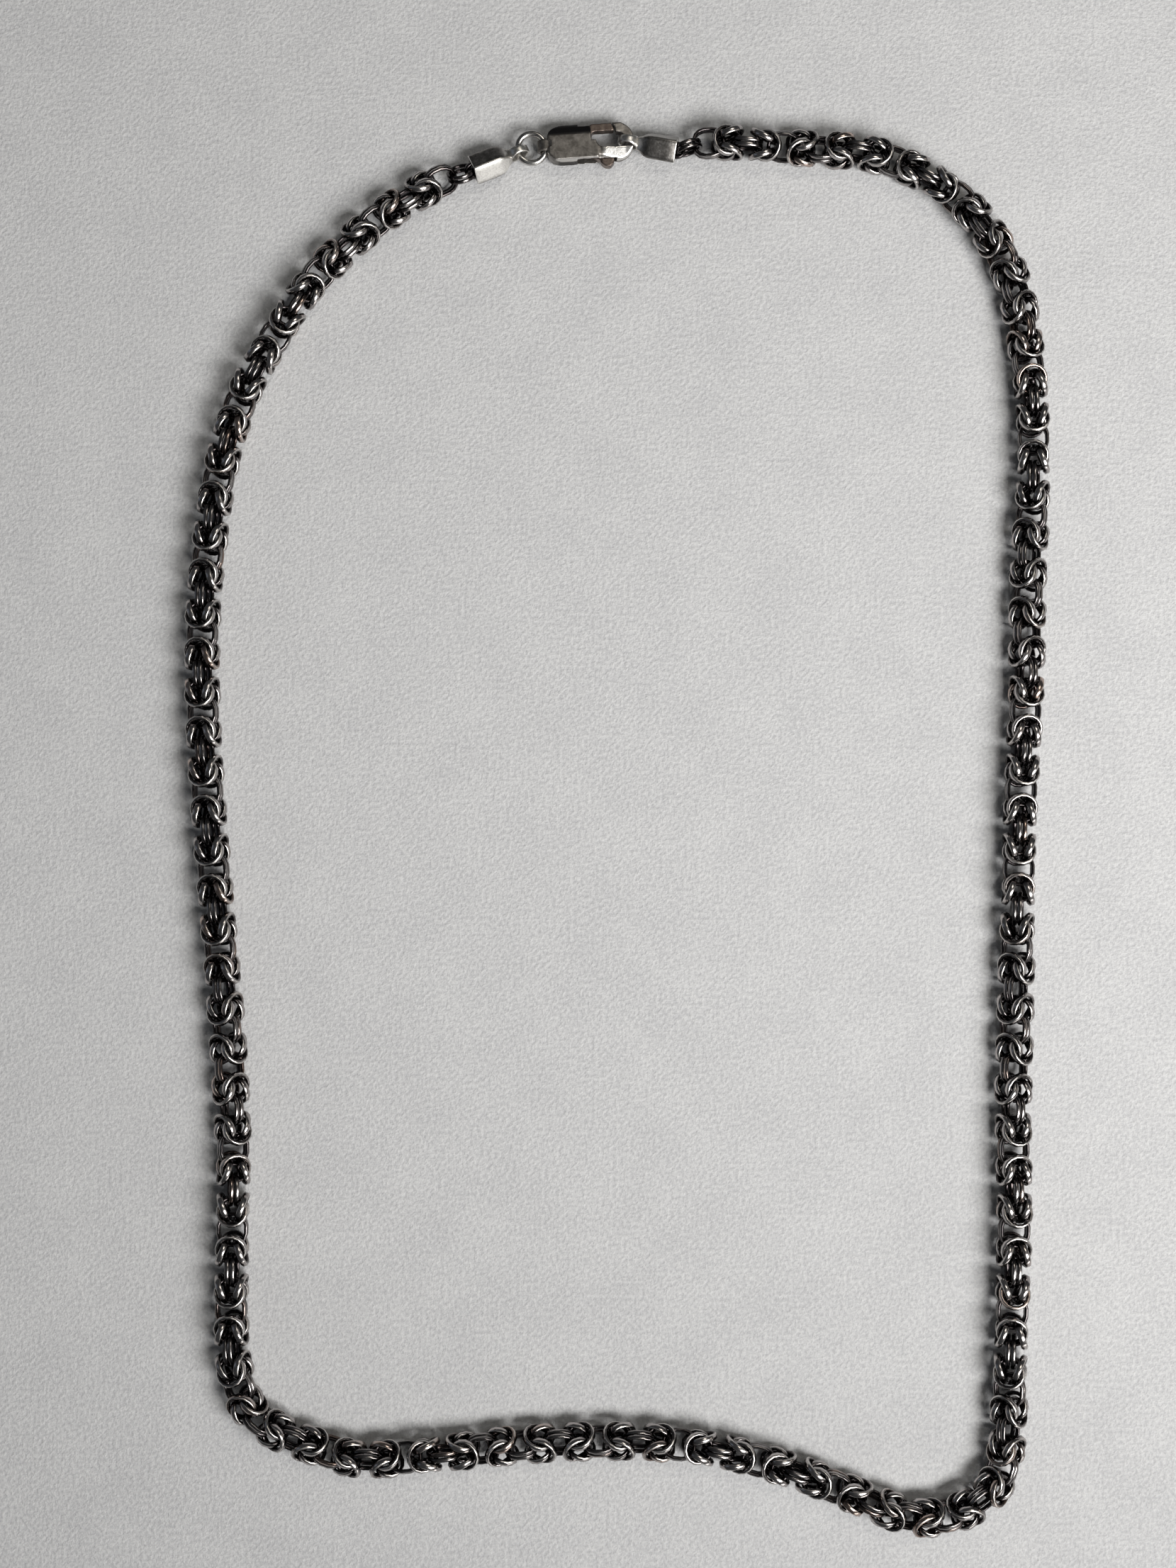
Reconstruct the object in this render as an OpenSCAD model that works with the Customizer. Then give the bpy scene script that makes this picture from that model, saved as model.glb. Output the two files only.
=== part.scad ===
// Byzantine neck chain lying in an open loop, closed by a lobster clasp.
// X runs across the loop, Y towards the clasp, Z up. The chain lies on Z = 0.

/* [Chain] */
// Outer diameter of the linked chain
chain_d = 4.8; // [3.6:0.1:6]
// Diameter of the last links, where they enter an end cap
chain_end_d = 2; // [1.6:0.1:2.2]
// How far the last links reach into an end cap
chain_entry = 0.9; // [0.5:0.1:2]

/* [End caps] */
// Side of the square sheet box
cap_side = 3.2; // [3:0.1:4.5]
// Rounding of the long edges of the box
cap_edge_r = 0.25; // [0.1:0.05:0.5]
// Thickness of the sheet
cap_wall = 0.3; // [0.2:0.05:0.4]
// Length of the straight box
cap_box_len = 3.6; // [3:0.1:5]
// Length of the pyramid between the box and the eye
cap_taper_len = 1.3; // [1:0.1:2.5]
// Roll of the box about its own length, as it came to rest
cap_roll = 30; // [0:1:45]
// Inner radius of the eye
eye_r = 1.2; // [1.1:0.05:1.6]
// Thickness of the strip that is bent into the eye
eye_wall = 0.35; // [0.25:0.05:0.6]
// Width of that strip
eye_w = 1; // [0.7:0.1:1.3]

/* [Jump ring] */
// Outer diameter of the jump ring
ring_d = 4.7; // [4.3:0.1:6]
// Diameter of its wire
ring_wire = 0.9; // [0.6:0.05:1]

/* [Clasp] */
// Length of the clasp without the loop on its tail
clasp_len = 12; // [11.4:0.1:13]
// Width of the clasp
clasp_w = 5.4; // [5.2:0.1:6.4]
// Thickness of the housing
clasp_t = 3.0; // [2.7:0.1:3.6]
// Radius of the housing's two corners
housing_r = 2; // [1:0.1:2.2]
// Radius of the hook's outer corners
hook_r = 2.4; // [1.8:0.1:2.5]
// Thickness of the hook at its end
hook_t = 1.2; // [0.9:0.1:1.3]
// Width of the hook's bow at its end
hook_w = 1.2; // [0.8:0.1:1.3]
// Length of the hook's hole
hole_len = 4.15; // [3.8:0.05:4.5]
// Height of the hook's hole
hole_w = 2.3; // [2:0.05:2.5]
// Outer radius of the loop on the tail
tail_r = 1.15; // [1.05:0.05:1.3]
// Radius of the hole in the tail
tail_hole_r = 0.65; // [0.6:0.01:0.75]
// Width of the loop on the tail
tail_w = 1.6; // [1:0.1:1.8]
// Height of the clasp's middle plane above the surface
clasp_z = 1.9; // [1.8:0.05:2.2]

/* [Lever] */
// Thickness of the lever
lever_t = 1.3; // [0.9:0.05:1.4]
// Play between the lever and each cheek of the slot
lever_play = 0.15; // [0.1:0.05:0.25]
// Radius of the pivot pin
pin_r = 0.45; // [0.35:0.05:0.5]
// Running clearance between the pin and the lever's bore
pin_clearance = 0.05; // [0.02:0.01:0.09]
// Radius of the lever's hub
hub_r = 1.15; // [0.9:0.05:1.2]
// Width of the gate
gate_w = 1.1; // [0.9:0.1:1.3]
// Gap between the gate's end and the tip of the hook
gate_gap = 0.15; // [0.1:0.05:0.3]
// How far the thumb piece stands out of the clasp
thumb_out = 1.1; // [0.6:0.1:1.6]

/* [Hidden] */

// The lay of the chain on the surface, from the left end cap round to the right one.
chain_route = [
    [-25, 90.5], [-29.5, 88], [-34, 85], [-38.5, 81], [-43, 76.5], [-46.5, 71.5], [-49.5, 66.5],
    [-52.5, 61], [-54.5, 55.5], [-56, 50], [-57, 44], [-58.5, 30], [-58.5, 16], [-57.5, 2],
    [-56, -14], [-54.5, -30], [-53.5, -46], [-53.5, -60], [-53.5, -69.5], [-53, -76],
    [-51, -81.5], [-46.5, -85], [-41, -87], [-35.5, -88.5], [-27.5, -88], [-13.5, -86.5],
    [0.5, -86], [12.5, -87], [24, -90], [33, -93.5], [40, -96.5], [46.5, -96], [51, -92.5],
    [53, -87], [53.5, -80], [54, -69], [54.5, -55], [54.5, -41], [55, -27], [55.5, -13],
    [56, 1], [57, 17], [57.5, 33], [58.5, 47], [58.5, 57], [57.5, 66], [56, 74.5],
    [53.5, 80.5], [50, 85.5], [45.5, 89.5], [40, 92.5], [35, 94], [29, 94.5], [22.5, 95],
    [16.5, 95.5], [12, 95.5]];

chain_rings = 80;
chain_sides = 12;
chain_z = chain_d / 2;
silver = [0.42, 0.41, 0.40];
bright_silver = [0.66, 0.65, 0.62];

// Where the clasp lies: the far end of its tail, and the turn of its long axis.
clasp_at = [-11.6, 95.4];
clasp_turn = 4;
cap_left_turn = 21.8;
cap_right_turn = 169.2;
thickness_over = 1;

// Places along the clasp, counted from the far end of its tail.
body_x = tail_r * 2 - 0.5;
clasp_end = body_x + clasp_len;
hole_x = clasp_end - hook_w - hole_len;
hole_y = 0.1;
hook_x = clasp_end - hook_w / 2;
pivot = [hole_x - 1.75, 0.6];
gate_reach = 4.5;
opening_reach = gate_reach + gate_gap;
slot_t = lever_t + 2 * lever_play;
gate_root = pivot[0] + 1.1;

function turned(a) = [cos(a), sin(a)];
function on_clasp(x) = clasp_at + x * turned(clasp_turn);

ring_r = (ring_d - ring_wire) / 2;
// The ring's arc leans this far back inside the straight hole of the tail.
ring_lean = (ring_r - sqrt(ring_r * ring_r - tail_w * tail_w / 4)) / 2;
ring_at = on_clasp(tail_r - ring_r + ring_lean);

cap_len = cap_box_len + cap_taper_len + eye_r + eye_wall / 2;
eye_z = clasp_z + 0.2;
// The box lies on its lower edge.
cap_z = cap_side / 2 * (cos(cap_roll) + sin(cap_roll));
eye_slack = 0.25;
eye_left = ring_at - (ring_r + eye_slack) * turned(cap_left_turn);
eye_right = on_clasp(hook_x - 0.15) - 0.2 * turned(clasp_turn + 90);
mouth_left = eye_left - cap_len * turned(cap_left_turn);
mouth_right = eye_right - cap_len * turned(cap_right_turn);

// The route of the tube starts and ends inside the two caps.
mouth_clear = 1;
route = concat(
    [mouth_left + chain_entry * turned(cap_left_turn), mouth_left - mouth_clear * turned(cap_left_turn)],
    chain_route,
    [mouth_right - mouth_clear * turned(cap_right_turn), mouth_right + chain_entry * turned(cap_right_turn)]);
spans = len(route) - 1;

// A smooth curve through the points of the route (Catmull-Rom), and its direction.
function route_point(i) =
    i < 0 ? 2 * route[0] - route[1] : i > spans ? 2 * route[spans] - route[spans - 1] : route[i];
function span_of(t) = min(floor(t), spans - 1);
function blend(a, b, c, d, u) =
    (2 * b + (c - a) * u + (2 * a - 5 * b + 4 * c - d) * u * u + (3 * b - a - 3 * c + d) * u * u * u) / 2;
function blend_slope(a, b, c, d, u) =
    ((c - a) + (4 * a - 10 * b + 8 * c - 2 * d) * u + (9 * b - 3 * a - 9 * c + 3 * d) * u * u) / 2;
function curve(t) = let (i = span_of(t))
    blend(route_point(i - 1), route_point(i), route_point(i + 1), route_point(i + 2), t - i);
function heading(t) = let (i = span_of(t))
    blend_slope(route_point(i - 1), route_point(i), route_point(i + 1), route_point(i + 2), t - i);

// One ring of the tube: a twelve-sided section with a flat side down.
function ring_t(j) = j * spans / (chain_rings - 1);
function ring_radius(j) =
    (j < 2 || j > chain_rings - 3 ? chain_end_d : chain_d) / 2 / cos(180 / chain_sides);
function ring_points(j) = let (c = curve(ring_t(j)), h = heading(ring_t(j)), n = [-h[1], h[0]] / norm(h))
    [for (k = [0 : chain_sides - 1]) let (a = (k + 0.5) * 360 / chain_sides, r = ring_radius(j))
        [c[0] + r * cos(a) * n[0], c[1] + r * cos(a) * n[1], chain_z + r * sin(a)]];

module chain_tube(first, last) {
    rows = last - first;
    points = [for (j = [first : last]) each ring_points(j)];
    walls = [for (j = [0 : rows - 1]) for (k = [0 : chain_sides - 1])
        let (m = (k + 1) % chain_sides, a = j * chain_sides, b = a + chain_sides)
            [a + k, a + m, b + m, b + k]];
    start_face = [for (k = [chain_sides - 1 : -1 : 0]) k];
    end_face = [for (k = [0 : chain_sides - 1]) rows * chain_sides + k];
    polyhedron(points, concat([start_face, end_face], walls), convexity = 10);
}

chain_middle = chain_rings / 2;

module chain_left() {
    color(silver) chain_tube(0, chain_middle);
}

module chain_right() {
    color(silver) chain_tube(chain_middle, chain_rings - 1);
}

// A square with rounded corners, centred.
module rounded_square(side, r) {
    square([side, side - 2 * r], center = true);
    square([side - 2 * r, side], center = true);
    for (x = [-1, 1], y = [-1, 1])
        translate([x, y] * (side / 2 - r)) circle(r, $fn = 24);
}

module across(x, depth) {
    translate([x, 0, 0]) rotate([90, 0, 90]) linear_extrude(depth) children();
}

// A slab of the cap's square section, as wide as a share of the box and rolled with it.
module cap_slab(x, share, roll, depth) {
    rotate([roll, 0, 0]) across(x, depth) rounded_square(cap_side * share, cap_edge_r);
}

// The mouth of a cap is at X = 0 and its eye at X = cap_len. Its four sides draw in to the strip of the eye.
module end_cap() {
    slab = 0.05;
    waist_x = cap_box_len + cap_taper_len * 0.4;
    neck_x = cap_box_len + cap_taper_len * 0.95;
    eye_out = eye_r + eye_wall;
    difference() {
        union() {
            cap_slab(0, 1, -cap_roll, cap_box_len);
            hull() {
                cap_slab(cap_box_len - slab, 1, -cap_roll, slab);
                cap_slab(waist_x, 0.78, -cap_roll, slab);
            }
        }
        rotate([-cap_roll, 0, 0]) across(-thickness_over, cap_box_len - cap_wall + thickness_over)
            square(cap_side - 2 * cap_wall, center = true);
    }
    hull() {
        cap_slab(waist_x, 0.78, -cap_roll, slab);
        cap_slab(neck_x, 0.46, -cap_roll * 0.6, slab);
    }
    difference() {
        union() {
            hull() {
                cap_slab(neck_x, 0.46, -cap_roll * 0.6, slab);
                across(cap_len - eye_r * 0.4, slab) square([eye_w, eye_out * 1.85], center = true);
            }
            translate([cap_len, 0, 0]) rotate([90, 0, 0])
                cylinder(r = eye_out, h = eye_w, center = true, $fn = 48);
        }
        translate([cap_len, 0, 0]) rotate([90, 0, 0])
            cylinder(r = eye_r, h = cap_side, center = true, $fn = 48);
    }
}

// Lays a cap down with its eye at a given place, the eye lower than the mouth.
module lay_cap(eye, turn) {
    pitch = asin((cap_z + 0.1 - eye_z) / cap_len);
    translate([eye[0], eye[1], eye_z]) rotate([0, pitch, turn]) translate([-cap_len, 0, 0]) children();
}

module end_cap_left() {
    color(silver) lay_cap(eye_left, cap_left_turn) end_cap();
}

module end_cap_right() {
    color(silver) lay_cap(eye_right, cap_right_turn) end_cap();
}

module jump_ring() {
    color(bright_silver) translate([ring_at[0], ring_at[1], clasp_z])
        rotate_extrude($fn = 96) translate([ring_r, 0]) circle(d = ring_wire, $fn = 32);
}

module lay_clasp() {
    translate([clasp_at[0], clasp_at[1], clasp_z]) rotate([0, 0, clasp_turn]) children();
}

// Outline of the housing and the hook together, seen from above.
module clasp_outline() {
    half = clasp_w / 2;
    left = body_x + housing_r;
    right = clasp_end - hook_r;
    translate([left, -half]) square([right - left, clasp_w]);
    translate([body_x, housing_r - half]) square([housing_r, clasp_w - 2 * housing_r]);
    translate([right, hook_r - half]) square([hook_r, clasp_w - 2 * hook_r]);
    for (y = [-1, 1]) {
        translate([left, y * (half - housing_r)]) circle(housing_r, $fn = 64);
        translate([right, y * (half - hook_r)]) circle(hook_r, $fn = 64);
    }
}

module hook_hole() {
    r = hole_w / 2;
    for (x = [hole_x + r, hole_x + hole_len - r])
        translate([x, hole_y]) circle(r, $fn = 64);
    translate([hole_x + r, hole_y - r]) square([hole_len - hole_w, hole_w]);
}

// The way out of the hook's hole, which the gate closes.
module gate_opening() {
    intersection() {
        translate(pivot) circle(opening_reach, $fn = 96);
        translate([gate_root, hole_y]) square([opening_reach, clasp_w]);
    }
}

// Thickness of the clasp along its length, thin at the hook.
module side_profile() {
    top = clasp_t / 2;
    polygon([
        [body_x, tail_r], [body_x + 0.8, top], [hole_x + 0.2, top], [hole_x + 2, top * 0.65],
        [hook_x - hook_w / 2, hook_t / 2], [clasp_end, hook_t / 2], [clasp_end, -hook_t / 2],
        [hook_x - hook_w / 2, -hook_t / 2], [hole_x + 2, -top * 0.65], [hole_x + 0.2, -top],
        [body_x + 0.8, -top], [body_x, -tail_r]]);
}

// Cross-section of the clasp, with a broad shoulder on the gate's side.
module cross_profile() {
    half = clasp_w / 2;
    top = clasp_t / 2;
    polygon([
        [-half, top * 0.45], [-half + 0.7, top], [half - 1.3, top], [half, top * 0.4],
        [half, -top * 0.4], [half - 1.3, -top], [-half + 0.7, -top], [-half, -top * 0.45]]);
}

module slot_outline() {
    edge = clasp_w / 2 + thickness_over;
    polygon([
        [pivot[0] - hub_r - 0.2, -1.5], [pivot[0] - hub_r - 0.2, pivot[1] + hub_r], [pivot[0] + 0.2, edge],
        [hole_x + 1, edge], [hole_x + 1, hole_y], [hole_x + 2.7, hole_y - hole_w / 2 + 0.2],
        [hole_x + 2.8, -edge], [pivot[0] - hub_r + 0.3, -edge]]);
}

module clasp_body() {
    color(bright_silver) lay_clasp() {
        difference() {
            intersection() {
                linear_extrude(clasp_t, center = true) clasp_outline();
                rotate([90, 0, 0]) linear_extrude(clasp_w, center = true) side_profile();
                across(0, clasp_end) cross_profile();
            }
            linear_extrude(clasp_t + thickness_over, center = true) hook_hole();
            linear_extrude(clasp_t + thickness_over, center = true) gate_opening();
            linear_extrude(slot_t, center = true) slot_outline();
        }
        translate([pivot[0], pivot[1], 0]) cylinder(r = pin_r, h = slot_t + 0.4, center = true, $fn = 48);
        difference() {
            union() {
                translate([tail_r, 0, 0]) rotate([90, 0, 0])
                    cylinder(r = tail_r, h = tail_w, center = true, $fn = 48);
                translate([tail_r, -tail_w / 2, -tail_r]) cube([tail_r, tail_w, 2 * tail_r]);
            }
            translate([tail_r, 0, 0]) rotate([90, 0, 0])
                cylinder(r = tail_hole_r, h = tail_w + thickness_over, center = true, $fn = 48);
        }
    }
}

module gate_outline() {
    top = clasp_w / 2 - 0.1;
    intersection() {
        translate(pivot) circle(gate_reach, $fn = 96);
        polygon([
            [pivot[0] - 0.3, pivot[1] + hub_r * 0.9], [gate_root + 0.1, top], [hole_x + 5, top],
            [hole_x + 5, top - gate_w], [gate_root + 0.3, top - gate_w], [pivot[0] + 0.8, pivot[1]]]);
    }
}

module thumb_outline() {
    edge = -clasp_w / 2;
    polygon([
        [pivot[0] - 0.7, pivot[1] - 0.8], [pivot[0] + 0.9, edge + 0.7], [hole_x + 0.45, edge],
        [hole_x + 1.55, edge - thumb_out], [hole_x + 2.45, edge + 0.1], [hole_x + 1.85, edge + 0.7],
        [hole_x + 0.55, edge + 1.4], [pivot[0] + 1, pivot[1] - 0.4]]);
}

module clasp_lever() {
    color(bright_silver) lay_clasp() difference() {
        linear_extrude(lever_t, center = true) {
            translate(pivot) circle(hub_r, $fn = 64);
            gate_outline();
            thumb_outline();
        }
        translate([pivot[0], pivot[1], 0])
            cylinder(r = pin_r + pin_clearance, h = lever_t + thickness_over, center = true, $fn = 48);
    }
}

chain_left();
chain_right();
end_cap_left();
end_cap_right();
jump_ring();
clasp_body();
clasp_lever();
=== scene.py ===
"""Looks of a byzantine neck chain with a lobster clasp, laid in an open loop on pale paper.

The loop of links is worked out as arrays: every ring is one small grid of points,
and all the rings of a kind are joined in one mesh.
"""
import math

import bmesh
import bpy
import numpy as np
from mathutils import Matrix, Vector


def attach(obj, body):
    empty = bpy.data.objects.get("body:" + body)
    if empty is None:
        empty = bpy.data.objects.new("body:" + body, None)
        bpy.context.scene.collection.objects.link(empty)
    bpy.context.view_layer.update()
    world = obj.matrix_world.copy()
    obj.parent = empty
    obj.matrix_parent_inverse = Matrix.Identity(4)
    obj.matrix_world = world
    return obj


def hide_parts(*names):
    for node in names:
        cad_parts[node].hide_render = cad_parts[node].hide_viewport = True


MM = 0.001

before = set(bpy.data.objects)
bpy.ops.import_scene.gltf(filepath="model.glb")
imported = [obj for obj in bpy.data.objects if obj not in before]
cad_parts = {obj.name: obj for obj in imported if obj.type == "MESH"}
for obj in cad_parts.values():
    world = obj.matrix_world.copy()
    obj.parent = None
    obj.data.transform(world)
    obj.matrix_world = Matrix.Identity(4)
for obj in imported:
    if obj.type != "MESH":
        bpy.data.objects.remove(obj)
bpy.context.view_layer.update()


# Meshes and points

def in_scene(name, mesh):
    """A new object of a mesh or other data, in the scene."""
    piece = bpy.data.objects.new(name, mesh)
    bpy.context.scene.collection.objects.link(piece)
    return piece


def share(x, low, high):
    """How far x has come from low to high, from 0 to 1."""
    return np.clip((x - low) / (high - low), 0, 1)


def rise(x, low, high):
    """0 below low, 1 above high and 3t^2 - 2t^3 between, for t the share of the way."""
    t = share(x, low, high)
    return t * t * (3 - 2 * t)


def grid_faces(rows, columns, closed):
    """Quads between the points of a grid, each as the numbers of its four points.

    The columns close round it. The last row joins the first where it is closed.
    """
    i, k = np.meshgrid(np.arange(rows if closed else rows - 1), np.arange(columns), indexing="ij")
    i2 = (i + 1) % rows
    k2 = (k + 1) % columns
    corners = [i * columns + k, i2 * columns + k, i2 * columns + k2, i * columns + k2]
    return np.stack(corners, -1).reshape(-1, 4)


def quad_mesh(name, points, faces):
    """A smooth mesh of points, in millimetres, and quads."""
    mesh = bpy.data.meshes.new(name)
    mesh.from_pydata((points.reshape(-1, 3) * MM).tolist(), [], faces.tolist())
    mesh.polygons.foreach_set("use_smooth", np.ones(len(faces), bool))
    return mesh


def mesh_points(mesh):
    """The points of a mesh as rows of x, y, z in millimetres."""
    flat = np.empty(len(mesh.vertices) * 3)
    mesh.vertices.foreach_get("co", flat)
    return flat.reshape(-1, 3) / MM


def paint(mesh, key, values):
    """Stores a number at each point of a mesh."""
    layer = mesh.attributes.new(key, "FLOAT", "POINT")
    layer.data.foreach_set("value", np.ascontiguousarray(values, np.float32).ravel())


def turn_about(points, axis, degrees):
    """Points turned about one axis of the frame by an angle, one for all or one for each row."""
    angle = np.radians(np.asarray(degrees, float))
    c, d = np.cos(angle), np.sin(angle)
    a, b = [(1, 2), (2, 0), (0, 1)][axis]
    out = points.copy()
    out[..., a] = points[..., a] * c - points[..., b] * d
    out[..., b] = points[..., a] * d + points[..., b] * c
    return out


def angles(count):
    """Even steps round a circle, from 0."""
    return np.arange(count) * 2 * math.pi / count


def soft_square(t, power):
    """The reach of a square with soft corners over that of a circle: (|cos t|^p + |sin t|^p)^(-1/p)."""
    return (np.abs(np.cos(t)) ** power + np.abs(np.sin(t)) ** power) ** (-1 / power)


# Shader maths

class Value:
    """A number in a material. Sums and products of it add Math nodes."""

    def __init__(self, finish, socket):
        self.finish = finish
        self.socket = socket

    def maths(self, operation, *terms):
        """What a Math node makes of the terms."""
        return self.finish.node("ShaderNodeMath", {"operation": operation}, dict(enumerate(terms)))

    def __add__(self, other):
        return self.maths("ADD", self, other)

    def __radd__(self, other):
        return self.maths("ADD", other, self)

    def __sub__(self, other):
        return self.maths("SUBTRACT", self, other)

    def __rsub__(self, other):
        return self.maths("SUBTRACT", other, self)

    def __mul__(self, other):
        return self.maths("MULTIPLY", self, other)

    def __rmul__(self, other):
        return self.maths("MULTIPLY", other, self)

    def size(self):
        """The number without its sign."""
        return self.maths("ABSOLUTE", self)

    def between(self, low, high):
        """0 below low, 1 above high, and a smooth rise between."""
        return self.finish.node(
            "ShaderNodeMapRange", {"interpolation_type": "SMOOTHSTEP"},
            {"Value": self, "From Min": low, "From Max": high})

    def band(self, low, full, fade, high):
        """1 between full and fade, and 0 outside low and high."""
        return self.between(low, full) * (1 - self.between(fade, high))


class Finish:
    """One material and its nodes."""

    def __init__(self, name):
        self.material = bpy.data.materials.new(name)
        self.material.use_nodes = True
        self.tree = self.material.node_tree
        self.shader = self.tree.nodes["Principled BSDF"]

    def node(self, kind, settings, inputs, output=0):
        """Adds a node: its settings first, then the values or links of its sockets."""
        made = self.tree.nodes.new(kind)
        for key, value in settings.items():
            setattr(made, key, value)
        self.feed(made, inputs)
        return Value(self, made.outputs[output])

    def feed(self, node, inputs):
        """Links each Value to its socket, and sets any other number, colour or vector there."""
        for key, value in inputs.items():
            if isinstance(value, Value):
                self.tree.links.new(value.socket, node.inputs[key])
            elif isinstance(value, tuple) and node.inputs[key].type == "RGBA":
                node.inputs[key].default_value = (*value, 1)
            else:
                node.inputs[key].default_value = value

    def surface(self, **inputs):
        """Feeds the Principled shader: Base_Color=..., Roughness=..."""
        self.feed(self.shader, {key.replace("_", " "): value for key, value in inputs.items()})

    def metal(self):
        """The finished material, of bare metal all over."""
        self.shader.inputs["Metallic"].default_value = 1.0
        return self.material

    def place(self):
        """The place on the piece, in metres."""
        return self.node("ShaderNodeTexCoord", {}, {}, output=3)

    def noise(self, size_mm, detail, rough=0.5, warp=0.0):
        """Cloudy noise whose blots are about size_mm across."""
        return self.node(
            "ShaderNodeTexNoise", {},
            {"Vector": self.place(), "Scale": 1 / (size_mm * MM), "Detail": detail,
             "Roughness": rough, "Distortion": warp})

    def painted(self, name):
        """A number that the mesh carries at each of its points."""
        return self.node("ShaderNodeAttribute", {"attribute_name": name}, {}, output=2)

    def mix(self, amount, low, high):
        """A colour that goes from low to high."""
        return self.node(
            "ShaderNodeMix", {"data_type": "RGBA"},
            {0: amount, 6: low, 7: high}, output=2)

    def bump(self, height, depth_mm, strength=1.0):
        """The direction of a surface raised by height, up to depth_mm."""
        return self.node(
            "ShaderNodeBump", {},
            {"Height": height, "Distance": depth_mm * MM, "Strength": strength})


# Finishes

def oxidised_links():
    """Dark oxidised silver: black patina in the knots, grey where links stand out, and bright on the edges,
    partly where they are rubbed and partly as a painted highlight.
    """
    f = Finish("oxidised_silver")
    rubbed = f.painted("rubbed")
    edge = f.painted("face_up").size().band(0.6, 0.75, 0.85, 1.0) * f.painted("face_out").between(0.1, 0.6)
    cloud = f.noise(1.3, 3)
    scuff = f.noise(0.3, 2, 0.6)
    worn = (rubbed * 0.9 + cloud * 0.6 - 0.3).between(0.15, 0.95)
    # line: the rubbed edges of the wire made near white, part rubbed silver and part a painted highlight
    # standing in for the light caught on their rounded edges.
    line = (edge * rubbed.between(0.3, 0.8) * (cloud * 0.9 + 0.3)).between(0.1, 0.9)
    patina = f.mix(worn, (0.05, 0.044, 0.045), (0.46, 0.43, 0.42))
    warm = f.mix(worn, (0.065, 0.045, 0.038), (0.52, 0.38, 0.31))
    tinted = f.mix((f.painted("tone") + cloud * 0.3).between(0.95, 1.25), patina, warm)
    f.surface(
        Base_Color=f.mix(line, tinted, (0.62, 0.6, 0.57)),
        Roughness=0.17 + scuff * 0.06 + line * 0.2,
        Normal=f.bump(scuff * 0.6 + cloud * 0.8, 0.006, 0.4))
    return f.metal()


def worn_silver():
    """Grey silver, mottled and finely scratched: near black with painted shade where it is painted dark, and
    bright with a painted highlight, together with the shank's polish, where that is marked.
    """
    f = Finish("worn_silver")
    blots = f.noise(1.2, 4, 0.6, 0.4)
    fine = f.noise(0.3, 3, 0.6)
    rub = f.node(
        "ShaderNodeTexNoise", {},
        {"Vector": f.node("ShaderNodeMapping", {}, {
            "Vector": f.place(), "Rotation": (0, 0, 0.5), "Scale": (900, 9000, 4000)}),
         "Scale": 1.0, "Detail": 2.0})
    # The painted shade and the painted highlight that the clasp's points carry.
    dark = f.painted("dark")
    polish_and_highlight = f.painted("polish_and_highlight")
    # worn also takes in the painted highlight and the painted shade, besides the mottling.
    worn = (blots * 0.9 + fine * 0.35 + polish_and_highlight * 0.8 - dark * 0.4).between(0.4, 0.95)
    sheet = f.mix(worn, (0.13, 0.12, 0.11), (0.34, 0.32, 0.3))
    bright = f.mix(polish_and_highlight, sheet, (0.78, 0.76, 0.73))
    f.surface(
        Base_Color=f.mix(dark, bright, (0.022, 0.02, 0.021)),
        Roughness=0.38 - polish_and_highlight * 0.16 - worn * 0.06 + fine * 0.12 + rub * 0.05,
        Normal=f.bump(fine * 0.7 + rub * 0.3, 0.012, 0.6))
    return f.metal()


def cap_silver():
    """Folded silver sheet, dark and mottled, and near white where a painted highlight is marked on it."""
    f = Finish("cap_silver")
    blots = f.noise(1.0, 4, 0.6, 0.3)
    fine = f.noise(0.25, 3, 0.6)
    # edge: the painted highlight on the lip, on the face turned to the window and on the neck, broken up by
    # the grain.
    edge = f.painted("polish_and_highlight") * (0.65 + fine.between(0.3, 0.6) * 0.35)
    worn = (blots * 0.8 + fine * 0.4 + edge * 0.6).between(0.4, 1.0)
    sheet = f.mix(worn, (0.12, 0.112, 0.105), (0.36, 0.345, 0.325))
    f.surface(
        Base_Color=f.mix(edge, sheet, (0.92, 0.9, 0.86)),
        Roughness=0.27 + fine * 0.14,
        Normal=f.bump(fine * 0.8 + blots * 0.4, 0.02, 0.7))
    return f.metal()


def ring_silver():
    """The bright round wire of the jump ring, a little clouded."""
    f = Finish("polished_silver")
    cloud = f.noise(1.2, 3)
    fine = f.noise(0.3, 2)
    f.surface(
        Base_Color=f.mix(cloud.between(0.3, 0.7), (0.3, 0.285, 0.275), (0.64, 0.625, 0.6)),
        Roughness=0.18 + fine * 0.12,
        Normal=f.bump(fine, 0.008, 0.4))
    return f.metal()


def lever_silver():
    """The clasp's lever, with the reddish grey that a spring alloy takes."""
    f = Finish("lever_silver")
    cloud = f.noise(1.0, 3, 0.6)
    fine = f.noise(0.25, 2)
    f.surface(
        Base_Color=f.mix(cloud.between(0.3, 0.7), (0.11, 0.085, 0.075), (0.24, 0.195, 0.17)),
        Roughness=0.28 + fine * 0.15,
        Normal=f.bump(fine, 0.008, 0.4))
    return f.metal()


def pale_paper():
    """Pale paper with a fine grain and broad faint clouds."""
    f = Finish("pale_paper")
    fibre = f.noise(0.5, 3, 0.6)
    felt = f.noise(9.0, 3, 0.6)
    grain = (fibre * 0.8 + felt * 0.2).between(0.3, 0.7)
    f.surface(
        Base_Color=f.mix(grain, (0.435, 0.435, 0.445), (0.57, 0.57, 0.572)),
        Roughness=0.9,
        Normal=f.bump(fibre, 0.16))
    f.shader.inputs["Specular IOR Level"].default_value = 0.2
    return f.material


# The way of the loop

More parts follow.
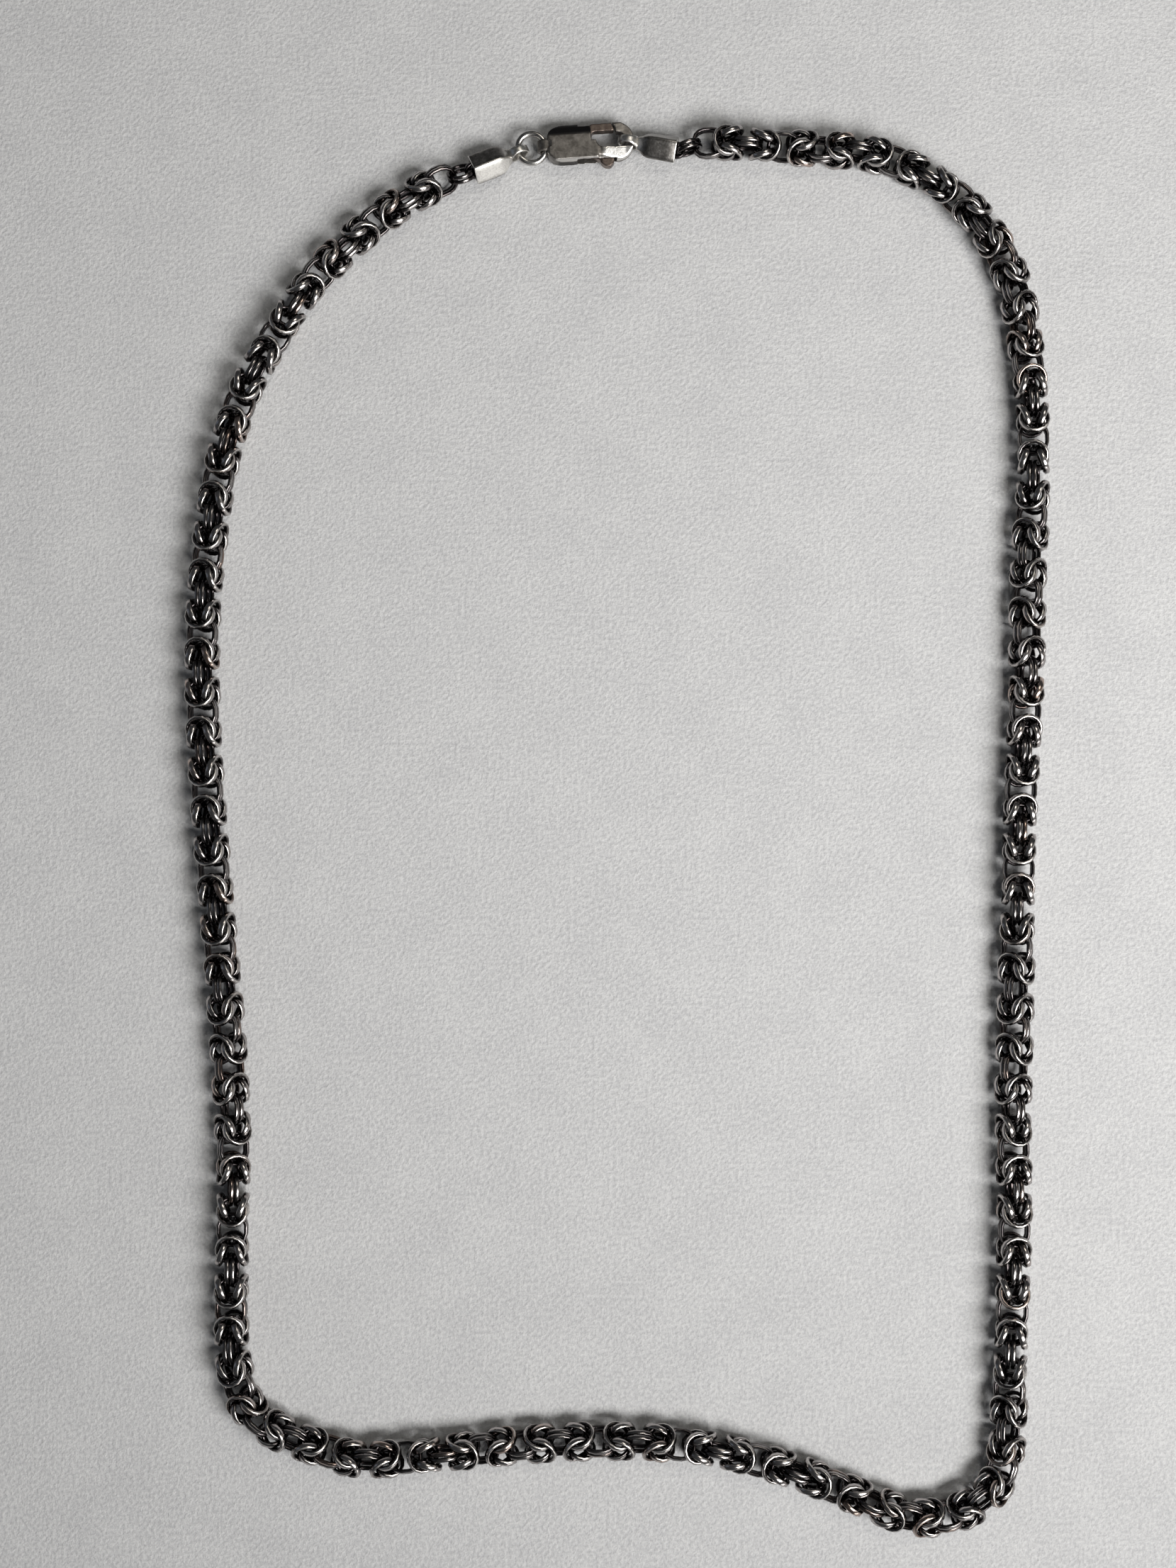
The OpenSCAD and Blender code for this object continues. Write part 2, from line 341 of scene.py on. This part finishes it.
LOOP_POINTS = [
    [-19.2, 92.6], [-21, 91.8],
    [-25, 90.5], [-29.5, 88], [-34, 85], [-38.5, 81], [-43, 76.5], [-46.5, 71.5],
    [-49.5, 66.5], [-52.5, 61], [-54.5, 55.5], [-56, 50], [-57, 44], [-58.4, 30],
    [-58.4, 16], [-57.5, 2], [-56, -14], [-54.5, -30], [-53.5, -46], [-53.5, -60],
    [-53.5, -69.5], [-53, -76], [-51, -81.5], [-46.5, -85], [-41, -87], [-35.5, -88.5],
    [-27.5, -88], [-13.5, -86.5], [0.5, -86], [12.5, -87], [24, -90], [33, -93.5],
    [40, -96.1], [46.3, -95.5], [51, -92.3], [53, -87], [53.5, -80], [54, -69],
    [54.5, -55], [54.5, -41], [55, -27], [55.5, -13], [56, 1], [57, 17],
    [57.5, 33], [58.4, 47], [58.4, 57], [57.6, 66], [56.2, 74.6], [53.7, 80.7],
    [50.2, 85.8], [45.6, 89.8], [40, 92.7], [35, 94.3], [29, 94.8], [22.5, 95.3],
    [16.5, 95.8], [12, 95.7], [8.6, 94.8], [6.7, 95.1]]
# Points worked out between one point of the loop and the next.
LOOP_STEPS = 48
# The height of the chain's middle line.
CHAIN_HEIGHT = 2.4
# How far behind and ahead the loop's direction is read.
SIGHT = 0.8
KNOTS = 94
# The even step from knot to knot, and the length along the loop at the first.
KNOT_PITCH = 5.446
FIRST_KNOT = 10.12


class Loop:
    """A Catmull-Rom curve through the points, measured along its length in millimetres.

    Between b and c, with a before and d after, the point at u, from 0 to 1, is
    (2b + (c - a)u + (2a - 5b + 4c - d)u^2 + (3b - a - 3c + d)u^3) / 2.
    """

    def __init__(self, points):
        p = np.array(points, float)
        p = np.vstack([2 * p[0] - p[1], p, 2 * p[-1] - p[-2]])
        u = (np.arange(LOOP_STEPS) / LOOP_STEPS)[None, :, None]
        a, b, c, d = (p[k:len(p) - 3 + k, None, :] for k in range(4))
        curve = (2 * b + (c - a) * u + (2 * a - 5 * b + 4 * c - d) * u**2
                 + (3 * b - a - 3 * c + d) * u**3) / 2
        self.line = np.vstack([curve.reshape(-1, 2), p[-2:-1]])
        step = np.hypot(*np.diff(self.line, axis=0).T)
        self.along = np.concatenate([[0], np.cumsum(step)])
        self.length = self.along[-1]

    def at(self, s, turn):
        """Middle and direction of the chain and its two sides at the lengths s, as rows of x, y, z.

        For an angle of turn about the direction, the first side is left cos - up sin and the second
        is up cos + left sin.
        """
        def point(q):
            return np.stack([np.interp(q, self.along, self.line[:, k]) for k in (0, 1)], -1)

        way = point(s + SIGHT) - point(s - SIGHT)
        way /= np.linalg.norm(way, axis=1, keepdims=True)
        flat = np.zeros(len(s))
        middle = np.column_stack([point(s), flat + CHAIN_HEIGHT])
        ahead = np.column_stack([way, flat])
        left = np.column_stack([-way[:, 1], way[:, 0], flat])
        up = np.array([[0, 0, 1.0]])
        c = np.cos(turn)[:, None]
        d = np.sin(turn)[:, None]
        return middle, ahead, left * c - up * d, up * c + left * d


KNOT_DRIFT = [
    # knot, millimetres that it lies past its even place
    [0, -0.9], [12, -0.2], [30, 1.3], [42, -0.3], [50, 0.2], [57, -1], [66, -0.2], [80, 0.9], [93, -1.1]]


def knot_places():
    """Length along the loop at each knot: an even pitch with a slight stretch and crowding."""
    j = np.arange(KNOTS)
    knot, drift = np.array(KNOT_DRIFT).T
    return FIRST_KNOT + KNOT_PITCH * j + np.interp(j, knot, drift)


KNOT_TURNS = [
    # knot, degrees that the chain has twisted there
    [0, -45], [3, -45], [4, -30], [5, -10], [7, 0], [10, 10], [22, 12], [24, 38], [26, 50],
    [27, 68], [28, 85], [31, 95], [33, 118], [35, 138], [37, 142], [38, 172], [40, 212], [43, 225],
    [44, 230], [45, 265], [49, 285], [50, 298], [51, 312], [55, 318], [56, 342], [58, 362], [62, 375],
    [64, 402], [66, 408], [67, 425], [68, 445], [73, 460], [75, 492], [77, 498], [78, 515], [80, 538],
    [81, 542], [83, 573], [86, 588], [87, 605], [88, 628], [90, 642], [91, 672], [92, 703], [93, 718]]


def knot_roll():
    """Each knot's turn about the chain's length, in radians: a quarter turn a knot, less the twist."""
    j = np.arange(KNOTS)
    knot, twist = np.array(KNOT_TURNS).T
    return np.radians(90 * (j + 1) - np.interp(j, knot, twist))


# Rings of flattened wire

# Half the width and half the length of the wire's middle line, its squareness, and the width of the wire.
KNOT_RING = (1.93, 1.93, 2, 0.93)
JOIN_RING = (1.92, 2.15, 2.4, 0.68)
END_RING = (1.85, 1.85, 2, 0.6)
HELD_RING = (1, 1.3, 2.5, 0.6)
WIRE_THICK = 0.55
RING_STEPS = 16
WIRE_SECTION = np.array([
    # out, up, angle of the surface there
    [0.92, 0.62, 22], [0, 1, 90], [-0.92, 0.62, 158], [-0.92, -0.62, 202], [0, -1, 270], [0.92, -0.62, 338]])
# How far a ring may reach above or below the chain's middle.
PRESSED_REACH = 2.39
# Half the air between the two rings of a pair.
PAIR_AIR = 0.03
# How far a knot's rings are set along the chain and to its sides, and their lean in degrees.
KNOT_FORWARD = 0.2
KNOT_SPREAD = 1.2
KNOT_LEAN = 20
# From the first or last join on to the end pair, and from the chain's end in to the ring held in the cap.
END_ONWARD = 3.1
HELD_INWARD = 1.35
# How far wire stands from the chain's middle where it begins to be rubbed, and where it is wholly so.
RUBBED_FROM = 1.5
RUBBED_FULL = 2.25


def rings(centre, normal, across, shape):
    """Rings of flat wire, one for each row of centre, as points by place round the ring and round the wire.

    A point holds its x, y, z, its surface's direction, and its out and up in the wire's section.
    The middle line of the wire follows |x / half_x|^p + |y / half_y|^p = 1, an oval that is a circle
    for equal halves and p = 2, and squarer for a larger p. Outward there is the way
    (x / half_x)^(p-1) / half_x, (y / half_y)^(p-1) / half_y, made one long. At a corner (out, up)
    of the section the point is centre + line + thick/2 * out * outward + wide/2 * up * normal.
    """
    normal = normal / np.linalg.norm(normal, axis=1, keepdims=True)
    across = across - normal * np.sum(across * normal, axis=1, keepdims=True)
    across = across / np.linalg.norm(across, axis=1, keepdims=True)
    side = np.cross(normal, across)
    half_x, half_y, power, wide = shape
    a = (np.arange(RING_STEPS) * 2 + 1) * math.pi / RING_STEPS
    c, d = np.cos(a), np.sin(a)
    x = half_x * np.sign(c) * np.abs(c) ** (2 / power)
    y = half_y * np.sign(d) * np.abs(d) ** (2 / power)
    out_x = np.sign(c) * np.abs(x / half_x) ** (power - 1) / half_x
    out_y = np.sign(d) * np.abs(y / half_y) ** (power - 1) / half_y
    out_len = np.hypot(out_x, out_y)

    def in_plane(u, v):
        """A step in each ring's own plane: u across and v to the side."""
        return (u[None, :, None] * across[:, None, :] + v[None, :, None] * side[:, None, :])[:, :, None, :]

    spoke = in_plane(out_x / out_len, out_y / out_len)
    up_way = normal[:, None, None, :]
    out, up, angle = (WIRE_SECTION[None, None, :, k, None] for k in range(3))
    line = centre[:, None, None, :] + in_plane(x, y)
    point = line + WIRE_THICK / 2 * out * spoke + wide / 2 * up * up_way
    facing = np.cos(np.radians(angle)) * spoke + np.sin(np.radians(angle)) * up_way
    marks = np.broadcast_to(WIRE_SECTION[:, :2], (*point.shape[:3], 2))
    return np.concatenate([point, facing, marks], -1)


def pressed(sets):
    """Presses rings flatter where they would rise or sink past the chain's height.

    Their heights are multiplied by the height allowed over the farthest that any ring of the same
    row reaches, where that is below 1.
    """
    farthest = np.max([np.abs(r[..., 2] - CHAIN_HEIGHT).max(axis=(1, 2)) for r in sets], axis=0)
    press = np.minimum(1, PRESSED_REACH / farthest)
    for r in sets:
        r[..., 2] = CHAIN_HEIGHT + (r[..., 2] - CHAIN_HEIGHT) * press[:, None, None]


def joined(name, parts, tone_seed, wear):
    """One piece of all the rings in parts, with how rubbed each point is and a tone for each ring.

    A point is rubbed more the farther it stands from the chain's middle line. That is multiplied by
    0.6 + 0.4 * out, for its out in the wire's section, and by the wear.
    """
    grid, middle, ahead = (np.concatenate([part[k] for part in parts]) for k in range(3))
    points, facing, outward, upward = grid[..., :3], grid[..., 3:6], grid[..., 6], grid[..., 7]
    away = points - middle[:, None, None, :]
    ahead = ahead[:, None, None, :]
    away = away - ahead * np.sum(away * ahead, axis=-1, keepdims=True)
    reach = np.linalg.norm(away, axis=-1)
    rubbed = share(reach, RUBBED_FROM, RUBBED_FULL) * (0.6 + 0.4 * outward) * wear
    tone = np.random.default_rng(tone_seed).random(len(points))
    tone = np.broadcast_to(tone[:, None, None], rubbed.shape)
    ring = grid_faces(*points.shape[1:3], True)
    offset = np.arange(len(points))[:, None, None] * points[0, ..., 0].size
    mesh = quad_mesh(name, points, (offset + ring).reshape(-1, 4))
    for key, values in (("rubbed", rubbed), ("tone", tone), ("face_out", outward), ("face_up", upward)):
        paint(mesh, key, values)
    mesh.normals_split_custom_set_from_vertices(facing.reshape(-1, 3))
    return in_scene(name, mesh)


def ring_pair(middle, apart, across, shape):
    """Two rings side by side, their faces towards each other across the chain's middle."""
    half_gap = shape[3] / 2 + PAIR_AIR
    pair = [rings(middle + apart * side * half_gap, apart, across, shape) for side in (1, -1)]
    pressed(pair)
    return pair


def chain_pieces(loop):
    """The knots' rings that spread on and back, and the rings that join them, with middle and direction.

    A knot has two rings whose near ends spread towards the next knot and two, a quarter
    turn round, that spread back. A pair of rings on each side joins it to its neighbours. Each
    pair is set in the loop's own direction at its centre, so a bend is taken at the joins.
    Past the first and last join there is one more pair, a quarter turn from it, and a ring
    that holds it in the cap.
    """
    lean = math.radians(KNOT_LEAN)
    s = knot_places()
    roll = knot_roll()
    centre, way, e1, e3 = loop.at(s, roll)
    on, back = [], []
    for side in (1, -1):
        on.append(rings(centre + way * KNOT_FORWARD + e3 * side * KNOT_SPREAD,
                        e3 * math.cos(lean) - way * side * math.sin(lean), e1, KNOT_RING))
        back.append(rings(centre - way * KNOT_FORWARD + e1 * side * KNOT_SPREAD,
                          e1 * math.cos(lean) + way * side * math.sin(lean), e3, KNOT_RING))
    pressed(on + back)

    first = s[0] - KNOT_PITCH / 2
    last = s[-1] + KNOT_PITCH / 2
    at = np.concatenate([[first], (s[:-1] + s[1:]) / 2, [last]])
    turn = np.concatenate([[roll[0] - math.pi / 2], (roll[:-1] + roll[1:] - math.pi / 2) / 2, [roll[-1]]])
    middle, ahead, e1, e3 = loop.at(at, turn)
    joins = [(pair, middle, ahead) for pair in ring_pair(middle, e3, e1, JOIN_RING)]

    ends = turn[[0, -1]]
    middle, ahead, e1, e3 = loop.at(np.array([first - END_ONWARD, last + END_ONWARD]), ends)
    joins += [(pair, middle, ahead) for pair in ring_pair(middle, e1, e3, END_RING)]
    middle, ahead, e1, e3 = loop.at(np.array([HELD_INWARD, loop.length - HELD_INWARD]), ends)
    joins.append((rings(middle, e3, e1, HELD_RING), middle, ahead))
    return [(ring, centre, way) for ring in on], [(ring, centre, way) for ring in back], joins


# Ring, caps and clasp

def sheet_mesh(name, grid, closed):
    """A mesh through a grid of points whose columns close round it, and its rows too where it is closed."""
    return quad_mesh(name, grid, grid_faces(*grid.shape[:2], closed))


def one_piece(name, meshes):
    """One object of several meshes, with doubled points at poles and joins merged and faces turned out."""
    shape = bmesh.new()
    for mesh in meshes:
        shape.from_mesh(mesh)
    bmesh.ops.remove_doubles(shape, verts=shape.verts, dist=0.002 * MM)
    bmesh.ops.recalc_face_normals(shape, faces=shape.faces)
    whole = bpy.data.meshes.new(name)
    shape.to_mesh(whole)
    shape.free()
    return in_scene(name, whole)


# From a cap's mouth to the middle of its eye, and the heights of the two.
CAP_LEN = 6.275
MOUTH_Z = 2.2857
EYE_Z = 2.1
CAP_COLUMNS = 56
CAP_ROWS = np.array([
    # x, half_w, half_h, p, share of the roll
    [3.3, 0.02, 0.02, 6, 1], [3.3, 1.2, 1.2, 9, 1], [3.2, 1.3, 1.3, 9, 1], [-0.5, 1.3, 1.3, 9, 1],
    [-0.64, 1.34, 1.34, 9, 1], [-0.7, 1.42, 1.42, 9, 1], [-0.7, 1.5, 1.5, 9, 1], [-0.66, 1.57, 1.57, 9, 1],
    [-0.56, 1.6, 1.6, 9, 1], [0.8, 1.6, 1.6, 9, 1], [2.2, 1.6, 1.6, 9, 1], [3.0, 1.58, 1.58, 8, 1],
    [3.4, 1.53, 1.53, 8, 1], [3.75, 1.44, 1.42, 7, 1], [4.05, 1.3, 1.24, 7, 0.95],
    [4.35, 1.14, 1.04, 6, 0.85], [4.65, 1.0, 0.86, 6, 0.75], [4.95, 0.88, 0.74, 6, 0.65],
    [5.05, 0.76, 0.66, 6, 0.6], [5.08, 0.02, 0.02, 6, 0.6]])
# The strip of a cap's eye: the circle of its middle, half its thickness, and half its width at the
# far side and how much more at the neck.
EYE_RADIUS = 1.375
EYE_HALF_THICK = 0.165
EYE_HALF_WIDE = 0.5
EYE_NECK_WIDER = 0.3
EYE_ROWS = 56
EYE_COLUMNS = 16
EYE_POWER = 5


def cap_shell(roll):
    """The box of folded sheet, from the floor inside it, out over its lip and along to its neck.

    A section at x has the points (half_w cos t, half_h sin t) / (|cos t|^p + |sin t|^p)^(1/p),
    which is a square with soft corners for a large p, turned by the cap's roll.
    """
    t = angles(CAP_COLUMNS)
    x, half_w, half_h, power, roll_share = (CAP_ROWS[:, k, None] for k in range(5))
    fit = soft_square(t, power)
    grid = np.stack(np.broadcast_arrays(x, half_w * np.cos(t) * fit, half_h * np.sin(t) * fit), -1)
    return turn_about(grid, 0, -roll * roll_share)


def cap_eye():
    """The strip bent round into an eye: a soft-cornered strip carried round a circle.

    Its half width at the angle a is EYE_HALF_WIDE, and towards the neck EYE_NECK_WIDER (-cos a)^1.5 more.
    """
    a = angles(EYE_ROWS)[:, None]
    b = angles(EYE_COLUMNS)[None, :]
    half_w = EYE_HALF_WIDE + EYE_NECK_WIDER * np.clip(-np.cos(a), 0, 1) ** 1.5
    fit = soft_square(b, EYE_POWER)
    radius = EYE_RADIUS + EYE_HALF_THICK * np.cos(b) * fit
    return np.stack(np.broadcast_arrays(
        CAP_LEN + radius * np.cos(a), half_w * np.sin(b) * fit, radius * np.sin(a)), -1)


def cap_painted_highlight(points, roll, bright_face):
    """How much painted highlight a cap carries at points whose x runs from its mouth to its eye.

    Its lip has 0.9 of painted highlight, the face that turns to the window as much as asked, and its neck
    0.5.
    The faces are found by turning the cap's roll back, which is 1 on the box and 0.6 at the neck.
    """
    x = points[:, 0]
    flat = turn_about(points, 0, roll * np.interp(x, [3.75, 5.05], [1, 0.6]))
    y, z = flat[:, 1], flat[:, 2]
    # Painted highlight where the lip, the face turned to the window and the neck would catch the light.
    lip = rise(-x, 0.56, 0.64) * 0.9
    face = rise(-y - np.abs(z), -0.25, 0.1) * rise(z, -1.5, -1.1) * (1 - rise(x, 4.2, 5)) * bright_face
    neck = rise(x, 3.9, 4.6) * 0.5
    return np.maximum.reduce([lip, face, neck])


def end_cap(name, eye, turn, roll, bright_face):
    """A cap laid down with its eye at a place and turned to its mouth, in degrees from x.

    Its box is rolled about its length, and bright_face is how strong the painted highlight on its lower face
    is.
    """
    pitch = math.degrees(math.asin((MOUTH_Z - EYE_Z) / CAP_LEN))
    eye_at = np.array([*eye, EYE_Z])
    from_eye = np.array([CAP_LEN, 0, 0])
    meshes = []
    for grid, closed in ((cap_shell(roll), False), (cap_eye(), True)):
        grid = turn_about(turn_about(grid - from_eye, 1, pitch), 2, turn) + eye_at
        meshes.append(sheet_mesh(name, grid, closed))
    piece = one_piece(name, meshes)
    points = turn_about(turn_about(mesh_points(piece.data) - eye_at, 2, -turn), 1, -pitch) + from_eye
    # Paints the cap's painted highlight on its lip, its lit lower face and its neck.
    paint(piece.data, "polish_and_highlight", cap_painted_highlight(points, roll, bright_face))
    return piece


RING_ROWS = 72
RING_COLUMNS = 20


def round_ring(name, centre, radius, wire, lean):
    """A round wire carried round a circle: ((radius + wire/2 cos b) cos a, the same sin a, wire/2 sin b).

    The ring leans about the x direction.
    """
    a = angles(RING_ROWS)[:, None]
    b = angles(RING_COLUMNS)[None, :]
    reach = radius + wire / 2 * np.cos(b)
    grid = np.stack(np.broadcast_arrays(reach * np.cos(a), reach * np.sin(a), wire / 2 * np.sin(b)), -1)
    return one_piece(name, [sheet_mesh(name, turn_about(grid, 0, lean) + np.array(centre), True)])


# The far end of the clasp's tail and the turn of its length. The places below are taken from there:
# x along the clasp, y across it towards the gate, z above its middle.
CLASP_AT = np.array([-11.6, 95.4, 1.9])
CLASP_TURN = 4
# Half the clasp's width, and the height of the housing's top above its middle.
CLASP_HALF = 2.7
HOUSING_TOP = 1.5
# The tail end, which starts at TAIL_START, is drawn out from STRETCH_FROM back to HOUSING_START.
TAIL_START = 1.75
STRETCH_FROM = 4
TAIL_STRETCH = 1.18
HOUSING_START = 1.4
# The radii of the tail end's corners, on the gate's side and on that of the thumb piece.
GATE_CORNER = 2.3
THUMB_CORNER = 1.6
# How far the thumb piece stands out past the clasp's edge, and the place about which it widens.
THUMB_OUT = 0.9
THUMB_MIDDLE = 10


def clasp_axes(points):
    """Points taken along, across and above the clasp, as three arrays."""
    return np.moveaxis(turn_about(points - CLASP_AT, 2, -CLASP_TURN), -1, 0).copy()


def laid_down(x, y, z):
    """The same three arrays as points in the frame."""
    return turn_about(np.stack([x, y, z], -1), 2, CLASP_TURN) + CLASP_AT


def square_tail(x, y, z):
    """Fills out the slope of the tail end and the bevel of the lower edge, and draws the tail end out.

    The slope there rises 0.44 a millimetre along the clasp and the bevel 1.18 a millimetre across it.
    What lies on or above either is raised to the housing's top, less up to 0.35 at the outer end of
    the slope and up to 0.6 at that of the bevel.
    """
    on_slope = (x < 2.6) & (x > TAIL_START) & (z > 1.09 + (x - 1.8) * 0.44)
    z = np.where(on_slope, np.maximum(z, HOUSING_TOP - 0.35 * share(-x, -2.05, -1.8)), z)
    on_bevel = (x < 8.7) & (y < -2) & (z > 1.42 + (2 + y) * 1.18)
    z = np.where(on_bevel, np.maximum(z, HOUSING_TOP - 0.6 * share(-y, 2.4, 2.7)), z)
    at_tail = (x < STRETCH_FROM) & (x > TAIL_START) & (np.abs(y) > 0.5)
    x = np.where(at_tail, STRETCH_FROM - (STRETCH_FROM - x) * TAIL_STRETCH, x)
    return x, z, at_tail


def round_corner(x, y, at_tail, side, radius):
    """Draws the tail's points outside one corner's circle in to it, towards its centre."""
    back = HOUSING_START + radius - x
    away = side * y - (CLASP_HALF - radius)
    far = np.maximum(np.hypot(back, away), 1e-6)
    outside = (back > 0) & (away > 0) & (far > radius) & at_tail
    drawn = np.where(outside, radius / far, 1)
    x = np.where(outside, HOUSING_START + radius - back * drawn, x)
    y = np.where(outside, side * (CLASP_HALF - radius + away * drawn), y)
    return x, y


def housing_shape(points):
    """The clasp's body with a long square tail end, round corners there, a sloped shoulder and shank.

    Along the gate's side the top falls 0.75 over the outer 1.5. Below the hole the shank rises 0.45
    on its inner side and sinks 0.1 on its outer one, but no higher than the housing's top.
    """
    x, y, z = clasp_axes(points)
    x, z, at_tail = square_tail(x, y, z)
    x, y = round_corner(x, y, at_tail, 1, GATE_CORNER)
    x, y = round_corner(x, y, at_tail, -1, THUMB_CORNER)
    shoulder = HOUSING_TOP - 0.75 * share(y, 1.05, 2.55)
    z = np.where(x < 8.3, np.minimum(z, shoulder), z)
    out = share(-y, 1.05, CLASP_HALF)
    lift = rise(x, 8.8, 9.8) * (0.45 * (1 - out) - 0.1 * out) * rise(-y, 0.7, 1.05)
    z = np.where(z > 0.3, np.minimum(z + lift, HOUSING_TOP), z)
    return laid_down(x, y, z), housing_paint(x, y, z)


def housing_paint(x, y, z):
    """Painted shade on the shoulder and low on the other side, and a painted highlight, with the shank's
    polish, on the shank and on the lower edge.
    """
    # Painted shade: the sloped shoulder and the low side are painted near black where they would reflect the
    # dark floor and room.
    shoulder = rise(y, 0.9, 1.5) * (1 - rise(x, 7.9, 8.3)) * rise(z, 0, 0.4)
    low_side = rise(-y, 2.5, 2.65) * (1 - rise(z, 0.5, 0.8)) * (1 - rise(x, 10.5, 11.5)) * 0.75
    # Painted highlight on the shank and the lower edge, where they would reflect the window; the shank also
    # has its polish.
    shank = rise(-y, 0.8, 1.2) * rise(x, 9.2, 9.8) * rise(z, -0.3, 0.2)
    edge = rise(-y, 2.35, 2.5) * rise(z, 0.7, 0.95) * 0.7
    return {"dark": np.maximum(shoulder, low_side), "polish_and_highlight": np.maximum(shank, edge)}


def trigger_shape(points):
    """The lever with a blunt thumb piece: past the clasp's edge it widens, and it is cut off square."""
    x, y, z = clasp_axes(points)
    out = share(-y, CLASP_HALF, CLASP_HALF + THUMB_OUT)
    x = THUMB_MIDDLE + (x - THUMB_MIDDLE) * (1 + out)
    y = np.maximum(y, -CLASP_HALF - THUMB_OUT)
    return laid_down(x, y, z), {}


def stepped(name, mesh, kind, settings):
    """The mesh that one modifier makes of a mesh."""
    raw = in_scene(name, mesh)
    step = raw.modifiers.new("step", kind)
    for key, value in settings.items():
        setattr(step, key, value)
    ready = raw.evaluated_get(bpy.context.evaluated_depsgraph_get())
    whole = bpy.data.meshes.new_from_object(ready)
    bpy.data.objects.remove(raw)
    return whole


EASE_ROUNDS = 4


def cast_copy(name, node, grain, shape_of):
    """A cast look for a solid: a merged copy, skinned again in even faces the size of the grain.

    Its points are moved and painted by shape_of, and then eased.
    """
    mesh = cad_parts[node].data.copy()
    shape = bmesh.new()
    shape.from_mesh(mesh)
    bmesh.ops.remove_doubles(shape, verts=shape.verts, dist=0.001 * MM)
    shape.to_mesh(mesh)
    shape.free()
    skin = stepped(name + "_raw", mesh, "REMESH", {"mode": "VOXEL", "voxel_size": grain * MM})
    points, painted = shape_of(mesh_points(skin))
    skin.vertices.foreach_set("co", points.ravel() * MM)
    whole = stepped(name + "_skin", skin, "SMOOTH", {"factor": 0.5, "iterations": EASE_ROUNDS})
    whole.name = name
    for key, values in painted.items():
        paint(whole, key, values)
    whole.materials.clear()
    whole.polygons.foreach_set("use_smooth", np.ones(len(whole.polygons), bool))
    return in_scene(name, whole)


# Camera, light and floor

# The photo's height and the camera's focal length, in the photo's pixels.
PHOTO_HEIGHT = 2212
FOCAL_LENGTH = 2800
# The height of the sensor that the focal length is given for, in millimetres.
SENSOR = 36
# Half the paper's width and its height, in millimetres.
FLOOR_HALF = 1500
FLOOR_Z = -0.05


def camera():
    """The camera over the loop, looking nearly straight down."""
    lens = bpy.data.cameras.new("camera")
    lens.sensor_fit = "VERTICAL"
    lens.sensor_height = SENSOR
    lens.lens = SENSOR * FOCAL_LENGTH / PHOTO_HEIGHT
    lens.clip_start = 0.01
    lens.clip_end = 5
    eye = in_scene("camera", lens)
    eye.location = (-0.0028, -0.0113, 0.27957)
    eye.rotation_euler = (math.radians(3.23769), math.radians(0.31642), 0)
    bpy.context.scene.camera = eye


def area_light(name, at, aim, size, power, colour):
    """A rectangular light at a place in metres, turned to shine at another."""
    light = bpy.data.lights.new(name, "AREA")
    light.shape = "RECTANGLE"
    light.size, light.size_y = size
    light.energy = power
    light.color = colour
    lamp = in_scene(name, light)
    lamp.location = at
    lamp.rotation_euler = (Vector(at) - Vector(aim)).to_track_quat("Z", "Y").to_euler()


def studio():
    """A near window at the lower right, a low strip behind it, weak light around, and a dark room."""
    world = bpy.data.worlds.new("room")
    bpy.context.scene.world = world
    world.use_nodes = True
    room = world.node_tree.nodes["Background"].inputs
    room["Color"].default_value = (0.9, 0.95, 1, 1)
    room["Strength"].default_value = 0.06
    area_light("key_window", (0.26, -0.19, 0.4), (-0.08, 0.75, 0.3), (0.3, 0.3), 5.7, (1, 0.99, 0.97))
    area_light("low_window", (0.45, -0.75, 0.1), (0, 0.05, 0.02), (0.5, 0.15), 1, (1, 0.99, 0.97))
    area_light("right_window", (0.85, 0.05, 0.3), (0, 0, 0), (0.3, 0.2), 0.15, (1, 0.9, 0.78))
    area_light("ceiling", (0.3, 0.4, 0.85), (0.1, 0.2, 0), (0.35, 0.25), 1.3, (1, 0.95, 0.85))
    area_light("left_fill", (-0.9, 0.1, 0.45), (0, 0, 0), (0.4, 0.5), 0.12, (0.65, 0.78, 1))
    bpy.context.scene.view_settings.view_transform = "Standard"


def floor():
    """A flat sheet of paper of two by two faces, just under the chain."""
    x, y = np.meshgrid(*2 * [np.linspace(-FLOOR_HALF, FLOOR_HALF, 3)])
    points = np.stack(np.broadcast_arrays(x, y, FLOOR_Z), -1)
    first = np.array([[0], [1], [3], [4]])
    sheet = in_scene("paper", quad_mesh("paper", points, first + [0, 1, 4, 3]))
    sheet.data.materials.append(pale_paper())


# Putting it together

camera()
studio()
floor()

knots_on, knots_back, joins = chain_pieces(Loop(LOOP_POINTS))
chain_finish = oxidised_links()
for name, parts, seed, wear in (
        ("knot_links_forward", knots_on, 11, 1),
        ("knot_links_back", knots_back, 12, 1),
        ("joining_links", joins, 13, 0.7)):
    piece = joined(name, parts, seed, wear)
    piece.data.materials.append(chain_finish)
    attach(piece, "necklace")
    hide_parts("chain_left", "chain_right")

cap_finish = cap_silver()
fittings = (
    # piece, the node that it stands for, its body, its finish and its slot
    (end_cap("cap_left", (-14.256, 94.555), 21.8, 29, 0.95), "end_cap_left", "necklace",
     cap_finish, "worn_silver"),
    (end_cap("cap_right", (1.432, 96.111), 169.2, 30, 0.15), "end_cap_right", "necklace",
     cap_finish, "worn_silver"),
    (round_ring("closed_ring", (-12.38, 95.3, 1.9), 2, 0.92, 12), "jump_ring", "necklace",
     ring_silver(), "polished_silver"),
    (cast_copy("clasp_casting", "clasp_body", 0.11, housing_shape), "clasp_body", "necklace",
     worn_silver(), "worn_silver"),
    (cast_copy("clasp_trigger", "clasp_lever", 0.09, trigger_shape), "clasp_lever", "lever",
     lever_silver(), "lever_silver"))
for piece, node, body, finish, slot in fittings:
    piece.data.materials.append(finish)
    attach(piece, body)
    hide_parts(node)
